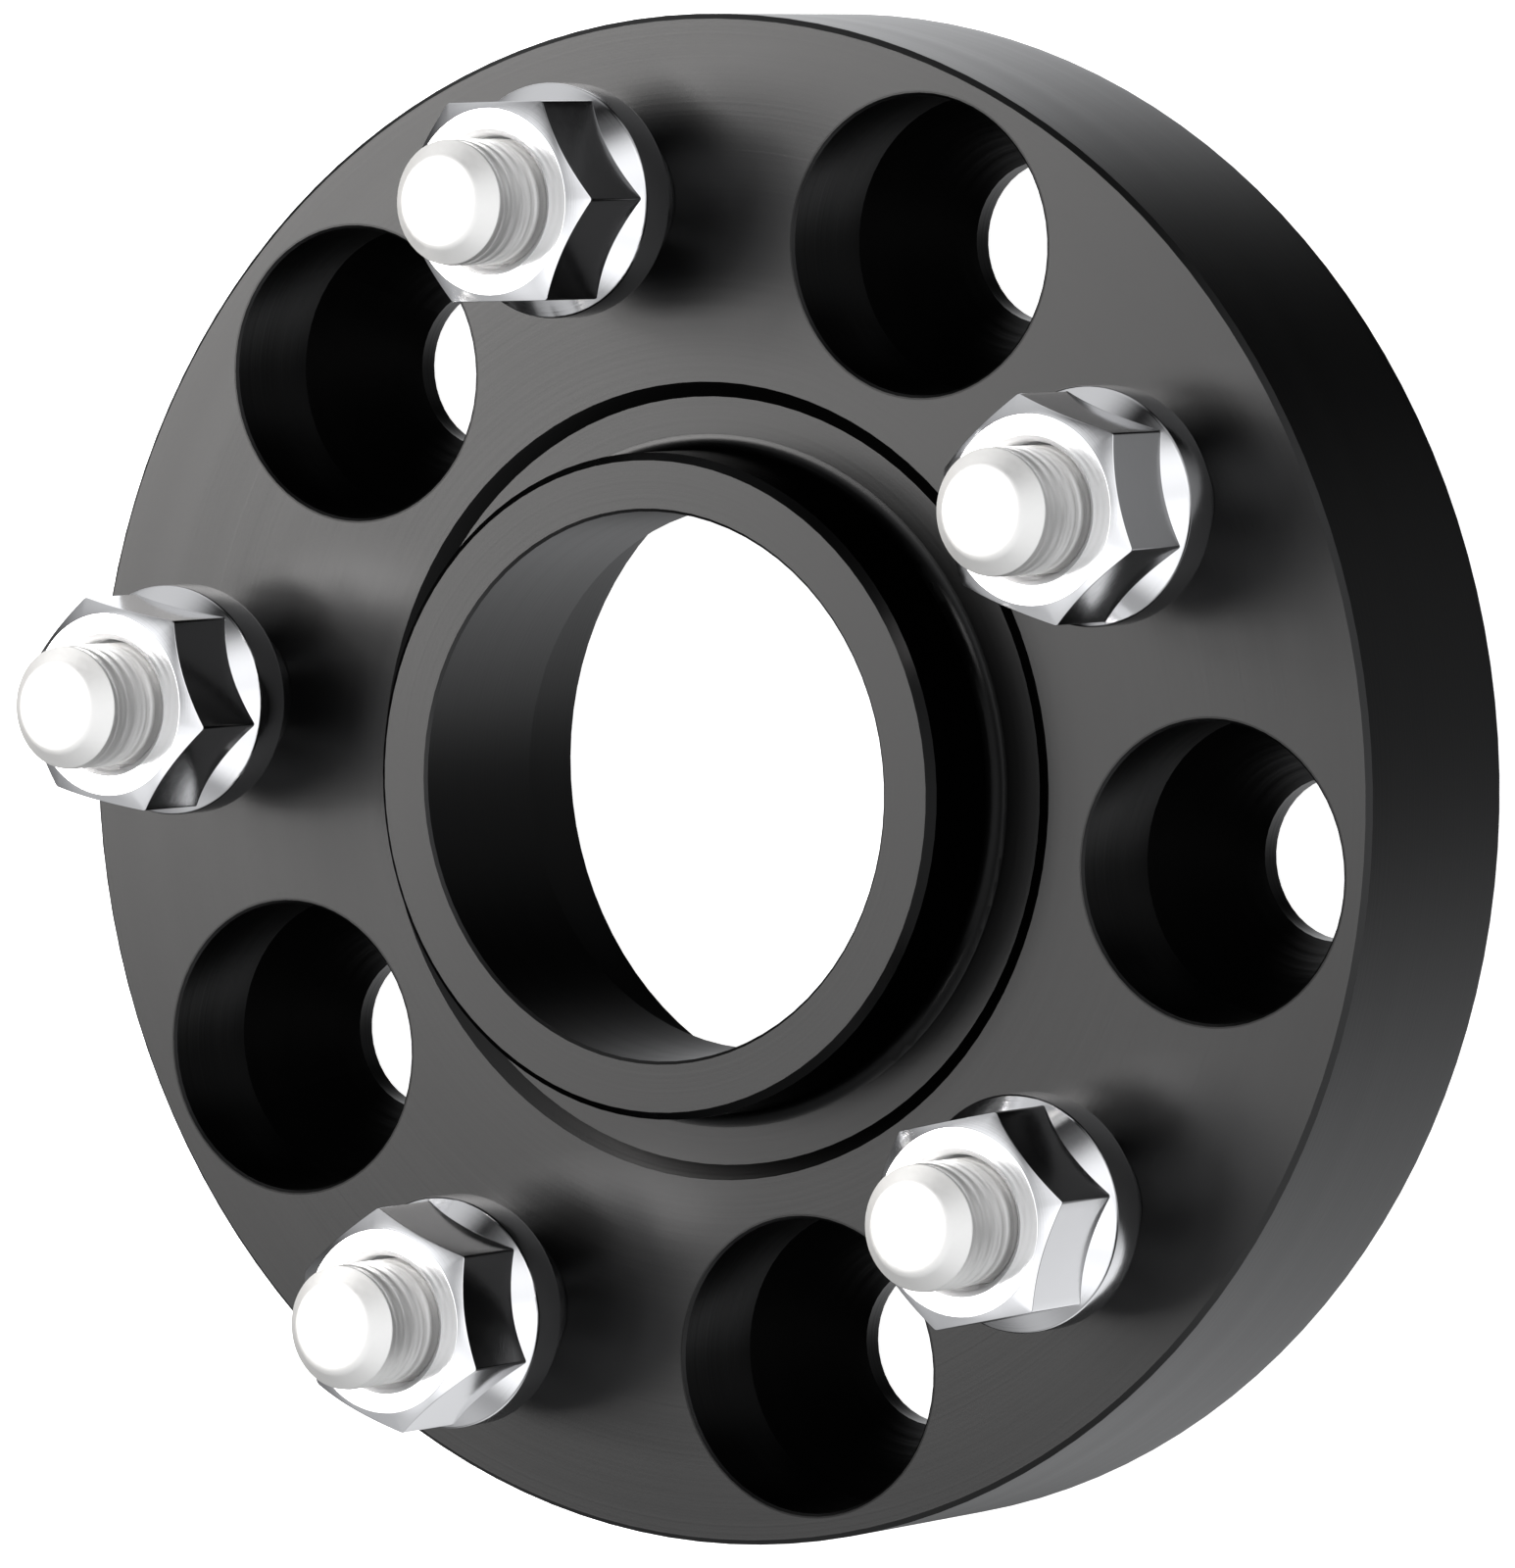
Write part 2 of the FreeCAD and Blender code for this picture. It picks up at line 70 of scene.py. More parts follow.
MM = 0.001  # Blender works in metres here
mounts = {mount["name"]: mount["dims"] for mount in frame["record"]["mounts"]}


def in_mm(corners):
    """Corners in rounded millimetres, for printing."""
    return [[round(c / MM, 2) for c in corner] for corner in corners]


print("CAD nodes:", sorted(frame["nodes"]))
print("CAD box, mm:", in_mm(cad_bounds))
print("mounts:", mounts)

# %% [markdown]
# The camera stands well back with a long lens, as in a catalogue picture: the far side of the ring
# looks nearly as large as the near side. A camera can be set by eye, but here its place and lens
# were solved from the circles in the photograph, so the picture lies exactly over it. The ring
# stood upright for the photograph, while the model lies flat with its axis along Z, so the camera
# is turned to suit. Its turn is given by which way is right and which is up in the picture.

# %% Camera
IMAGE_WIDTH, IMAGE_HEIGHT = 1546, 1600
LENS_PIXELS = 12336.87  # focal length, measured in pixels of the photograph
SENSOR = 36.0
CLIP_NEAR, CLIP_FAR = 0.1, 20.0

camera_place = Vector((0.63604, 0.14639, 0.99251))
picture_right = Vector((0.827022, 0.097227, -0.553699))
picture_up = Vector((-0.150167, 0.987348, -0.050921))
towards_camera = picture_right.cross(picture_up)


def add_object(name, data):
    """Put a camera, a light or a mesh into the scene."""
    obj = bpy.data.objects.new(name, data)
    bpy.context.scene.collection.objects.link(obj)
    return obj


camera_data = bpy.data.cameras.new("camera")
camera_data.sensor_width = SENSOR
camera_data.lens = LENS_PIXELS / max(IMAGE_WIDTH, IMAGE_HEIGHT) * SENSOR
camera_data.clip_start, camera_data.clip_end = CLIP_NEAR, CLIP_FAR
camera = add_object("camera", camera_data)
camera.matrix_world = (
    Matrix.Translation(camera_place)
    @ Matrix((picture_right, picture_up, towards_camera)).transposed().to_4x4()
)
bpy.context.scene.camera = camera
print(f"lens {camera_data.lens:.1f} mm, {camera_place.length:.2f} m from the hub face")

# %% [markdown]
# A finish in Blender is a small network of nodes, and so is the light of a room. It could be drawn
# by hand in the shader editor. Written as code, each helper here adds one node and hands back its
# result, so that a sum reads nearly as it would on paper. A value is a number or another node's
# result, and the helpers take either.

# %% Node helpers
WHITE = (1, 1, 1, 1)


def feed(tree, value, socket):
    """Link a socket to another node's result, or set it to a number or colour."""
    if isinstance(value, bpy.types.NodeSocket):
        tree.links.new(value, socket)
    else:
        socket.default_value = value


def math_node(tree, operation, *values):
    """A Math node for one, two or three values."""
    node = tree.nodes.new("ShaderNodeMath")
    node.operation = operation
    for value, socket in zip(values, node.inputs):
        feed(tree, value, socket)
    return node.outputs["Value"]


def add(tree, a, b):
    return math_node(tree, "ADD", a, b)


def times(tree, a, b):
    """A product. Of two masks it is the place where both hold."""
    return math_node(tree, "MULTIPLY", a, b)


def below(tree, value, limit):
    """A mask: 1 where the value is below the limit."""
    return math_node(tree, "LESS_THAN", value, limit)


def socket_called(sockets, identifier):
    """A Mix node has several sockets of one name, but each has an identifier of its own."""
    return next(socket for socket in sockets if socket.identifier == identifier)


def mix_node(tree, kind, factor, a, b):
    """A Mix node of kind Float, Vector or Color: a where the factor is 0, b where it is 1."""
    node = tree.nodes.new("ShaderNodeMix")
    node.data_type = {"Float": "FLOAT", "Vector": "VECTOR", "Color": "RGBA"}[kind]
    for name, value in (("Factor_Float", factor), (f"A_{kind}", a), (f"B_{kind}", b)):
        feed(tree, value, socket_called(node.inputs, name))
    return socket_called(node.outputs, f"Result_{kind}")


def soft_step(tree, value, start, end, top=1.0):
    """0 at start, the top value at end, with soft ends."""
    ramp = tree.nodes.new("ShaderNodeMapRange")
    ramp.interpolation_type = "SMOOTHSTEP"
    ramp.inputs["From Min"].default_value = start
    ramp.inputs["From Max"].default_value = end
    ramp.inputs["To Max"].default_value = top
    tree.links.new(value, ramp.inputs["Value"])
    return ramp.outputs["Result"]


print("node helpers ready")

# %% [markdown]
# The floor is a wide pale sheet under the ring, like the paper that such a thing is photographed
# on. It glows a little, so that the picture's background stays white in the ring's shadow. It is
# left out of reflections, because a white sheet right behind the rim would bleach it. Seen from
# below it lets the view through. A white background alone would be less work, but then nothing
# would carry the object in the side views.

# %% Floor
FLOOR_HALF = 3.0
FLOOR_GAP = 0.5 * MM  # below the hub face
FLOOR_COLOUR = (0.8, 0.8, 0.8, 1)
FLOOR_ROUGHNESS = 0.9
FLOOR_GLOW = 0.95
floor_height = cad_bounds[0].z - FLOOR_GAP


def new_material(name):
    """A material with an empty network."""
    material = bpy.data.materials.new(name)
    material.use_nodes = True
    material.node_tree.nodes.clear()
    return material, material.node_tree


def end_network(tree, shader):
    """Connect the last shader of a material to its output."""
    output = tree.nodes.new("ShaderNodeOutputMaterial")
    tree.links.new(shader, output.inputs["Surface"])


def make_floor_paper():
    material, tree = new_material("floor_paper")
    paper = tree.nodes.new("ShaderNodeBsdfPrincipled")
    paper.inputs["Base Color"].default_value = FLOOR_COLOUR
    paper.inputs["Roughness"].default_value = FLOOR_ROUGHNESS
    paper.inputs["Emission Color"].default_value = WHITE
    paper.inputs["Emission Strength"].default_value = FLOOR_GLOW
    clear = tree.nodes.new("ShaderNodeBsdfTransparent")
    from_below = tree.nodes.new("ShaderNodeNewGeometry").outputs["Backfacing"]
    mix = tree.nodes.new("ShaderNodeMixShader")
    results = (from_below, paper.outputs["BSDF"], clear.outputs["BSDF"])
    for result, socket in zip(results, mix.inputs):
        tree.links.new(result, socket)
    end_network(tree, mix.outputs["Shader"])
    return material


def make_floor():
    mesh = bpy.data.meshes.new("floor")
    corners = [
        (x * FLOOR_HALF, y * FLOOR_HALF, floor_height)
        for x, y in ((-1, -1), (1, -1), (1, 1), (-1, 1))
    ]
    mesh.from_pydata(corners, [], [(0, 1, 2, 3)])
    mesh.materials.append(make_floor_paper())
    floor = add_object("floor", mesh)
    floor.visible_glossy = floor.visible_diffuse = floor.visible_shadow = False


make_floor()
print("floor at z =", round(floor_height / MM, 2), "mm")

# %% [markdown]
# Black anodising shows what stands around it more than what shines on it. In the studio that was
# white sheets and cards round the object. They could be built as glowing planes, but a plane has
# hard edges and gets in the way of other views. So the room is a dark one with broad soft patches
# on its walls. Each patch has a direction, a width and a strength, all judged from the reflections
# in the photograph, and fades to nothing at its edge.

# %% Room light
ROOM_COLOUR = (0.98, 0.99, 1.01, 1)
SOFT_PATCHES = [
    # where it is, seen from the ring; half width in degrees; strength
    (Vector((-0.50, 0.20, -0.84)), 28, 1.35),   # the sheet behind, seen at a glance along the rim
    (Vector((0.13, -0.60, -0.80)), 45, 0.84),   # the table under the rim
    (Vector((0.45, -0.20, -0.87)), 45, 0.20),   # the sheet behind, at the right
    (Vector((0.20, -0.97, 0.10)), 50, 0.40),    # the table in front
    (Vector((0.00, -0.60, 0.80)), 40, 0.60),    # below the camera
    (Vector((-0.50, -0.80, 0.35)), 45, 0.35),   # the table at the left
    (Vector((0.70, -0.45, 0.55)), 45, 1.25),    # white card at the right, low
    (Vector((0.85, 0.36, 0.38)), 45, 1.05),     # white card at the right, high
    (Vector((0.42, 0.55, 0.73)), 45, 0.25),     # above the camera
    (Vector((-0.60, 0.80, -0.10)), 45, 0.70),   # white card at the top left
    (Vector((-0.90, -0.45, 0.05)), 45, 0.25),   # white card at the left
    (Vector((-0.34, 0.31, 0.89)), 45, 2.10),    # glow round the main soft boxes
    (Vector((0.76, 0.60, -0.25)), 45, 0.45),    # wall behind, at the upper right
]


def soft_patch(tree, direction, axis, half_width, strength):
    """One soft patch of the room: strong at its axis, gone at its half width."""
    dot = tree.nodes.new("ShaderNodeVectorMath")
    dot.operation = "DOT_PRODUCT"
    dot.inputs[1].default_value = axis.normalized()
    tree.links.new(direction, dot.inputs[0])
    edge = math.cos(math.radians(half_width))
    return soft_step(tree, dot.outputs["Value"], edge, 1.0, top=strength)


def make_room():
    world = bpy.data.worlds.new("studio")
    world.use_nodes = True
    tree = world.node_tree
    tree.nodes.clear()
    direction = tree.nodes.new("ShaderNodeTexCoord").outputs["Generated"]
    total, *others = [soft_patch(tree, direction, *patch) for patch in SOFT_PATCHES]
    for patch in others:
        total = add(tree, total, patch)
    # The camera itself sees plain white beyond the floor's edge.
    seen = tree.nodes.new("ShaderNodeLightPath").outputs["Is Camera Ray"]
    background = tree.nodes.new("ShaderNodeBackground")
    feed(tree, mix_node(tree, "Float", seen, total, 1.0), background.inputs["Strength"])
    feed(tree, mix_node(tree, "Color", seen, ROOM_COLOUR, WHITE), background.inputs["Color"])
    output = tree.nodes.new("ShaderNodeOutputWorld")
    tree.links.new(background.outputs["Background"], output.inputs["Surface"])
    bpy.context.scene.world = world


make_room()
print(len(SOFT_PATCHES), "soft patches in the room")

# %% [markdown]
# The face is lit by four soft boxes at the upper left. They stand close, about half a metre away, so
# each point of the face mirrors another part of them. That is why the face is lighter at the left and
# falls off gently to the right. Lights far away would give an even face. A brightness and a size say
# more than watts, so the power of each box follows from those two. The Standard view keeps the
# picture's white and black as they are, as a catalogue picture has them.

# %% Soft boxes
BOX_COLOUR = (1.0, 0.98, 0.965)
BOX_SIDE = 0.20
SOFT_BOXES = [
    # name; direction from the ring; distance; radiance
    ("key_box", Vector((-0.57, 0.34, 0.75)), 0.56, 19),
    ("fill_box", Vector((-0.75, 0.07, 0.66)), 0.53, 9),
    ("low_box", Vector((-0.54, -0.12, 0.83)), 0.50, 3),
    ("top_box", Vector((-0.13, -0.04, 0.99)), 0.55, 1.4),
]


def soft_box(name, direction, distance, radiance):
    """A square light that faces the ring. Its power follows from how bright its surface is."""
    light = bpy.data.lights.new(name, "AREA")
    light.shape = "RECTANGLE"
    light.size = light.size_y = BOX_SIDE
    light.energy = radiance * math.pi * BOX_SIDE * BOX_SIDE
    light.color = BOX_COLOUR
    box = add_object(name, light)
    box.location = direction.normalized() * distance
    box.rotation_euler = direction.to_track_quat("Z", "Y").to_euler()
    box.visible_camera = False


for box in SOFT_BOXES:
    soft_box(*box)
bpy.context.scene.view_settings.view_transform = "Standard"
print(len(SOFT_BOXES), "soft boxes")

# %% [markdown]
# Turned metal carries faint rings where the tool passed. They follow the axis that the work turned
# about: the ring's own axis on its faces and bores, and each hole's axis inside the holes. An image
# of rings would need unwrapping and shows its pixels close by. Noise of the distance from the axis,
# and of the height, gives rings on flat faces and on walls alike, at any size. The ring's finish and
# the nuts' both have such marks, so they are a node group, built once, and each finish gives it a
# spacing of its own.

# %% Turned marks
FINE_SCALE, FINE_DETAIL = 1.0, 2.0
BROAD_SCALE, BROAD_DETAIL = 0.12, 3.0


def new_group(name, inputs, outputs):
    """A shader node group with named sockets, and its two end nodes."""
    group = bpy.data.node_groups.new(name, "ShaderNodeTree")
    for socket, kind in inputs:
        group.interface.new_socket(socket, in_out="INPUT", socket_type=kind)
    for socket, kind in outputs:
        group.interface.new_socket(socket, in_out="OUTPUT", socket_type=kind)
    return group, group.nodes.new("NodeGroupInput").outputs, group.nodes.new("NodeGroupOutput").inputs


def noise_node(tree, place, scale, detail):
    noise = tree.nodes.new("ShaderNodeTexNoise")
    for name, value in (("Vector", place), ("Scale", scale), ("Detail", detail)):
        feed(tree, value, noise.inputs[name])
    return noise.outputs["Fac"]


def vector_of(tree, x, y, z=0.0):
    node = tree.nodes.new("ShaderNodeCombineXYZ")
    for name, value in (("X", x), ("Y", y), ("Z", z)):
        feed(tree, value, node.inputs[name])
    return node.outputs["Vector"]


def make_turned_marks():
    """Rings about an axis: noise of (distance from the axis, height along it)."""
    group, start, end = new_group(
        "turned_marks",
        [(name, "NodeSocketFloat") for name in ("Radius", "Height", "Spacing", "Seed")],
        [("Fine", "NodeSocketFloat"), ("Broad", "NodeSocketFloat")],
    )
    across = math_node(group, "DIVIDE", start["Radius"], start["Spacing"])
    along = math_node(group, "DIVIDE", start["Height"], start["Spacing"])
    place = vector_of(group, across, along, start["Seed"])
    group.links.new(noise_node(group, place, FINE_SCALE, FINE_DETAIL), end["Fine"])
    group.links.new(noise_node(group, place, BROAD_SCALE, BROAD_DETAIL), end["Broad"])
    return group


turned_marks = make_turned_marks()
print("group", turned_marks.name, "ready")

# %% [markdown]
# Close up, each of the three metals has a fine even grain: the etched skin under the anodising, the
# crystals of the zinc, a faint cloud in the bright plating. Its size differs from metal to metal but
# its kind doesn't, so it is a second group with a scale and a detail as inputs.

# %% Metal grain
def make_metal_grain():
    group, start, end = new_group(
        "metal_grain",
        [("Place", "NodeSocketVector"), ("Scale", "NodeSocketFloat"), ("Detail", "NodeSocketFloat")],
        [("Grain", "NodeSocketFloat")],
    )
    grain = noise_node(group, start["Place"], start["Scale"], start["Detail"])
    group.links.new(grain, end["Grain"])
    return group


def add_group(tree, group, **inputs):
    """Place a group in a material with values of its own, and hand back its results."""
    node = tree.nodes.new("ShaderNodeGroup")
    node.node_tree = group
    for name, value in inputs.items():
        feed(tree, value, node.inputs[name])
    return node.outputs


metal_grain = make_metal_grain()
print("group", metal_grain.name, "ready")

# %% [markdown]
# The turned faces, the drilled holes, the bored recess and the bore of the real ring each look a
# little different, from their tool marks and from the shade that falls in them, and here that shade
# is painted. Yet they are one solid with one finish. Masks could be painted on the mesh, but they
# would be lost whenever the model is packed again. So the finish works out where a point of the ring
# lies: how far from the ring's axis and from the nearest hole's axis, how high, and how flat the
# surface is there. Compared with the ring's sizes, these give the masks.

# %% Places on the ring
HOLE_COUNT = mounts["hub_stud_holes"]["count"]
BOLT_CIRCLE_RADIUS = mounts["hub_stud_holes"]["pcd_mm"] / 2 * MM
REGISTER_RADIUS = mounts["wheel_register"]["r_mm"] * MM
HOLE_REACH = 14.7 * MM  # a hole and its edge lie within this distance of the hole's axis
HUB_FACE_TOP = 0.3 * MM  # below this height lies the flat hub face
SHOULDER_HEIGHT = 18.5 * MM  # above it is the narrow bore inside the register, below it the hub bore
REGISTER_BORE_REACH, HUB_BORE_REACH = 27.5 * MM, 34.2 * MM
RECESS_REACH = 39.5 * MM  # other walls up to this distance are the register's and the recess's
ROOT_START = REGISTER_RADIUS + 0.75 * MM  # the fillet at the register's root
ROOT_END = REGISTER_RADIUS + 1.75 * MM
ROOT_TOP = 26.0 * MM
FLAT, SLOPED = 0.998, 0.90  # upright part of the normal where a face ends and where a wall begins
# Where the painted shadow in the bore begins and where it is full.
BORE_SHADOW_START, BORE_SHADOW_END = 5.0 * MM, -15.0 * MM  # along Y, which was upright in the photograph


def split_vector(tree, vector):
    """The x, y and z of a vector."""
    split = tree.nodes.new("ShaderNodeSeparateXYZ")
    tree.links.new(vector, split.inputs["Vector"])
    return split.outputs


def flat_length(tree, x, y):
    """Length of the vector (x, y)."""
    return math_node(tree, "SQRT", add(tree, times(tree, x, x), times(tree, y, y)))


def from_nearest_hole(tree, x, y):
    """How far a point lies from the axis of the nearest hole, along X and along Y."""
    step = 2 * math.pi / HOLE_COUNT
    steps = math_node(tree, "DIVIDE", math_node(tree, "ARCTAN2", y, x), step)
    nearest = times(tree, math_node(tree, "ROUND", steps), step)
    away = []
    for value, turn in ((x, "COSINE"), (y, "SINE")):
        centre = times(tree, math_node(tree, turn, nearest), BOLT_CIRCLE_RADIUS)
        away.append(math_node(tree, "SUBTRACT", value, centre))
    return away


def find_places(tree):
    """Where a point lies on the ring, as results to build a finish from."""
    position = tree.nodes.new("ShaderNodeTexCoord").outputs["Object"]
    x, y, height = split_vector(tree, position)
    radius = flat_length(tree, x, y)
    hole_x, hole_y = from_nearest_hole(tree, x, y)
    from_hole = flat_length(tree, hole_x, hole_y)
    above_hub_face = math_node(tree, "GREATER_THAN", height, HUB_FACE_TOP)
    in_hole = times(tree, below(tree, from_hole, HOLE_REACH), above_hub_face)

    facing = tree.nodes.new("ShaderNodeNewGeometry").outputs["Normal"]
    flatness = math_node(tree, "ABSOLUTE", split_vector(tree, facing)["Z"])
    wall = soft_step(tree, flatness, FLAT, SLOPED)
    # The root fillet counts as a wall, so it gets the recess's painted shade as well.
    root = times(tree, soft_step(tree, radius, ROOT_END, ROOT_START), below(tree, height, ROOT_TOP))
    wall = math_node(tree, "MAXIMUM", wall, root)

    deep = below(tree, height, SHOULDER_HEIGHT)
    bore_reach = mix_node(tree, "Float", deep, REGISTER_BORE_REACH, HUB_BORE_REACH)
    in_bore = below(tree, radius, bore_reach)
    outside_bore = math_node(tree, "SUBTRACT", 1, in_bore)
    # The walls of the register and the recess, with the root fillet: the mask for painted shade.
    recess_shade = times(tree, below(tree, radius, RECESS_REACH), times(tree, wall, outside_bore))
    # A painted shadow: the lower half of the bore, fading in along Y.
    bore_shadow = times(tree, in_bore, soft_step(tree, y, BORE_SHADOW_START, BORE_SHADOW_END))
    return {
        "position": position, "x": x, "y": y, "height": height, "radius": radius,
        "hole_x": hole_x, "hole_y": hole_y, "from_hole": from_hole, "in_hole": in_hole,
        "facing": facing, "flatness": flatness, "in_bore": in_bore, "bore_shadow": bore_shadow,
        "recess_shade": recess_shade,
    }


print(f"{HOLE_COUNT} holes on a bolt circle {2 * BOLT_CIRCLE_RADIUS / MM:.1f} mm across")

# %% [markdown]
# A mesh keeps a normal at each corner of its faces. Each round wall of the model has a seam where
# those normals jump a little, and a dark glossy wall shows that as a step in its reflection. A
# finer mesh would make the step smaller and everything slower. But the true normal of such a wall
# is known: it points straight from the ring's axis, or straight at the axis inside the bore or a
# hole. So on upright walls the finish works the normal out from the place, and elsewhere it takes
# the mesh's.

# %% True normals of the round walls
UPRIGHT = 0.01  # a wall is upright where the upright part of its normal is below this


def radial_vector(tree, x, y, sign):
    """The vector (x, y, 0), turned round where the sign is -1."""
    return vector_of(tree, times(tree, x, sign), times(tree, y, sign))


def wall_normal(tree, places):
    sign = math_node(tree, "SUBTRACT", 1, times(tree, places["in_bore"], 2))
    of_ring = radial_vector(tree, places["x"], places["y"], sign)
    of_hole = radial_vector(tree, places["hole_x"], places["hole_y"], -1)
    turned = tree.nodes.new("ShaderNodeVectorTransform")
    turned.vector_type = "NORMAL"
    turned.convert_from, turned.convert_to = "OBJECT", "WORLD"
    radial = mix_node(tree, "Vector", places["in_hole"], of_ring, of_hole)
    tree.links.new(radial, turned.inputs["Vector"])
    upright = below(tree, places["flatness"], UPRIGHT)
    return mix_node(tree, "Vector", upright, places["facing"], turned.outputs["Vector"])


print("round walls take their normals from their place")

# %% [markdown]
# The ring's finish is satin black anodising: a hard, dyed oxide layer on turned aluminium. It has no
# bare metal to show, yet it isn't paint either. A dark plastic shader would give white highlights
# over a dead black. The real layer reflects like a dark metal, softly, with the tool marks
# underneath. So it is a metallic surface of a low colour, with a middling roughness that varies a
# little from ring to ring and a very fine grain. The walls of the holes and of the recess, with the
# fillet at the register's root, get a darker colour, which is painted shade for these hollows. The
# walls of the recess also shine less at a glancing angle, as painted shade. The lower half of the
# bore does too, as a painted shadow of the ring on itself. The drill left deeper and wider rings in
# the holes.

# %% Anodised finish
# Painted shade: the holes and the walls of the recess get a darker tone than the faces.
ANODISED_TONE, HOLE_SHADE_TONE, RECESS_SHADE_TONE = 0.030, 0.018, 0.010
ANODISED_ROUGHNESS, ANODISED_SPREAD = 0.32, 0.10
ANODISED_MARK_SPACING = 0.4 * MM
ANODISED_GRAIN_SCALE, ANODISED_GRAIN_DETAIL = 4500, 2
MARK_SHARE, GRAIN_SHARE = 0.7, 0.3  # of the relief
DRILL_MARKS = 12  # how much deeper the drill's rings are
ANODISED_RELIEF, ANODISED_RELIEF_DEPTH = 0.5, 0.02 * MM
RECESS_SHADE_GLANCE = 0.30  # how much of the glancing reflection the walls of the recess keep: painted shade
BORE_SHADOW_GLANCE = 0.40  # the same for the lower half of the bore: a painted shadow of the ring on itself


def vary(tree, middle, spread, noise):
    """A value that follows a noise, from half the spread below the middle to half above."""
    return math_node(tree, "MULTIPLY_ADD", noise, spread, middle - spread / 2)


def end_metal(tree, tone, roughness, relief, strength, depth):
    """End a metal's network with its surface, and with the relief that roughens it."""
    surface = tree.nodes.new("ShaderNodeBsdfPrincipled")
    surface.inputs["Metallic"].default_value = 1.0
    feed(tree, tone, surface.inputs["Base Color"])
    feed(tree, roughness, surface.inputs["Roughness"])
    bump = tree.nodes.new("ShaderNodeBump")
    bump.inputs["Strength"].default_value = strength
    bump.inputs["Distance"].default_value = depth
    tree.links.new(relief, bump.inputs["Height"])
    tree.links.new(bump.outputs["Normal"], surface.inputs["Normal"])
    end_network(tree, surface.outputs["BSDF"])
    return surface, bump


def anodised_relief(tree, places, marks):
    grain = add_group(tree, metal_grain, Place=places["position"],
                      Scale=ANODISED_GRAIN_SCALE, Detail=ANODISED_GRAIN_DETAIL)["Grain"]
    turned = add(tree, times(tree, marks["Fine"], MARK_SHARE), times(tree, grain, GRAIN_SHARE))
    drilled = times(tree, times(tree, places["in_hole"], DRILL_MARKS), marks["Broad"])
    return add(tree, turned, drilled)


def make_anodised():
    material, tree = new_material("black_anodised")
    places = find_places(tree)
    in_hole, recess_shade = places["in_hole"], places["recess_shade"]
    from_axis = mix_node(tree, "Float", in_hole, places["radius"], places["from_hole"])
    marks = add_group(tree, turned_marks, Radius=from_axis, Height=places["height"],
                      Spacing=ANODISED_MARK_SPACING, Seed=in_hole)
    # Painted shade: a darker tone on the recess walls and in the holes, and less glancing shine on
    # the recess walls.
    tone = mix_node(tree, "Float", recess_shade, ANODISED_TONE, RECESS_SHADE_TONE)
    tone = mix_node(tree, "Float", in_hole, tone, HOLE_SHADE_TONE)
    glance = mix_node(tree, "Float", recess_shade, 1.0, RECESS_SHADE_GLANCE)
    glance = mix_node(tree, "Float", places["bore_shadow"], glance, BORE_SHADOW_GLANCE)
    rough = vary(tree, ANODISED_ROUGHNESS, ANODISED_SPREAD, marks["Broad"])
    relief = anodised_relief(tree, places, marks)
    surface, bump = end_metal(tree, tone, rough, relief, ANODISED_RELIEF, ANODISED_RELIEF_DEPTH)
    # The glancing shine, lowered by the painted shade and the painted shadow, goes into the Specular
    # Tint.
    tree.links.new(glance, surface.inputs["Specular Tint"])
    tree.links.new(wall_normal(tree, places), bump.inputs["Normal"])
    return material


ring = frame["nodes"]["spacer_body"]
ring.data.materials.clear()
ring.data.materials.append(make_anodised())
print("ring:", len(ring.data.polygons), "faces in", ring.data.materials[0].name)

# %% [markdown]
# The nuts and studs are made column by column: for every angle round the axis there is an outline of
# distances and heights, and neighbouring outlines are joined by a strip of faces. Turning one outline
# round, or cutting a hexagon with cones, would be the usual ways. Here the outline can change with
# the angle, which is how one recipe makes a hexagon that runs out on a cone, a helical thread and a
# row of serrations, with evenly spaced faces. Corners of an outline are rounded before it is used,
# because real edges are never quite sharp, and a bright edge line makes plated metal look real.

# %% Outlines and skins
ROUNDING_STEPS = 4
LONGEST_ROUNDING = 0.45  # share of a side that the rounding of a corner may take


def rounded(corners):
    """A closed outline of (distance, height) points from corners (distance, height, radius)."""
    points = []
    spots = [Vector(corner[:2]) for corner in corners]
    for i, corner in enumerate(corners):
        before, spot, after = (spots[(i + k) % len(spots)] for k in (-1, 0, 1))
        radius = corner[2]
        if not radius:
            points.append(tuple(spot))
            continue
        a, b = before - spot, after - spot
        half = a.angle(b) / 2
        reach = min(radius / math.tan(half), LONGEST_ROUNDING * a.length, LONGEST_ROUNDING * b.length)
        a, b = spot + a.normalized() * reach, spot + b.normalized() * reach
        centre = spot + (((a + b) / 2) - spot).normalized() * reach / math.cos(half)
        r = reach * math.tan(half)
        for k in range(ROUNDING_STEPS + 1):
            way = a.lerp(b, k / ROUNDING_STEPS) - centre
            points.append(tuple(centre + way.normalized() * r))
    return points


def skin(name, angles, outlines, closed):
    """Join outlines, one for each angle, into a mesh. Open ones are capped at both ends."""
    rows, turns = len(outlines[0]), len(outlines)
    points = [
        (r * math.cos(angle), r * math.sin(angle), z)
        for angle, outline in zip(angles, outlines)
        for r, z in outline
    ]
    faces = []
    for j in range(turns):
        a, b = j * rows, (j + 1) % turns * rows
        for i in range(rows if closed else rows - 1):
            k = (i + 1) % rows
            faces.append((a + i, b + i, b + k, a + k))
    if not closed:
        faces.append([j * rows for j in reversed(range(turns))])
        faces.append([j * rows + rows - 1 for j in range(turns)])
    mesh = bpy.data.meshes.new(name)
    mesh.from_pydata(points, [], faces)
    mesh.polygons.foreach_set("use_smooth", [True] * len(mesh.polygons))
    return mesh


print("a rounded corner is", ROUNDING_STEPS, "short sides")

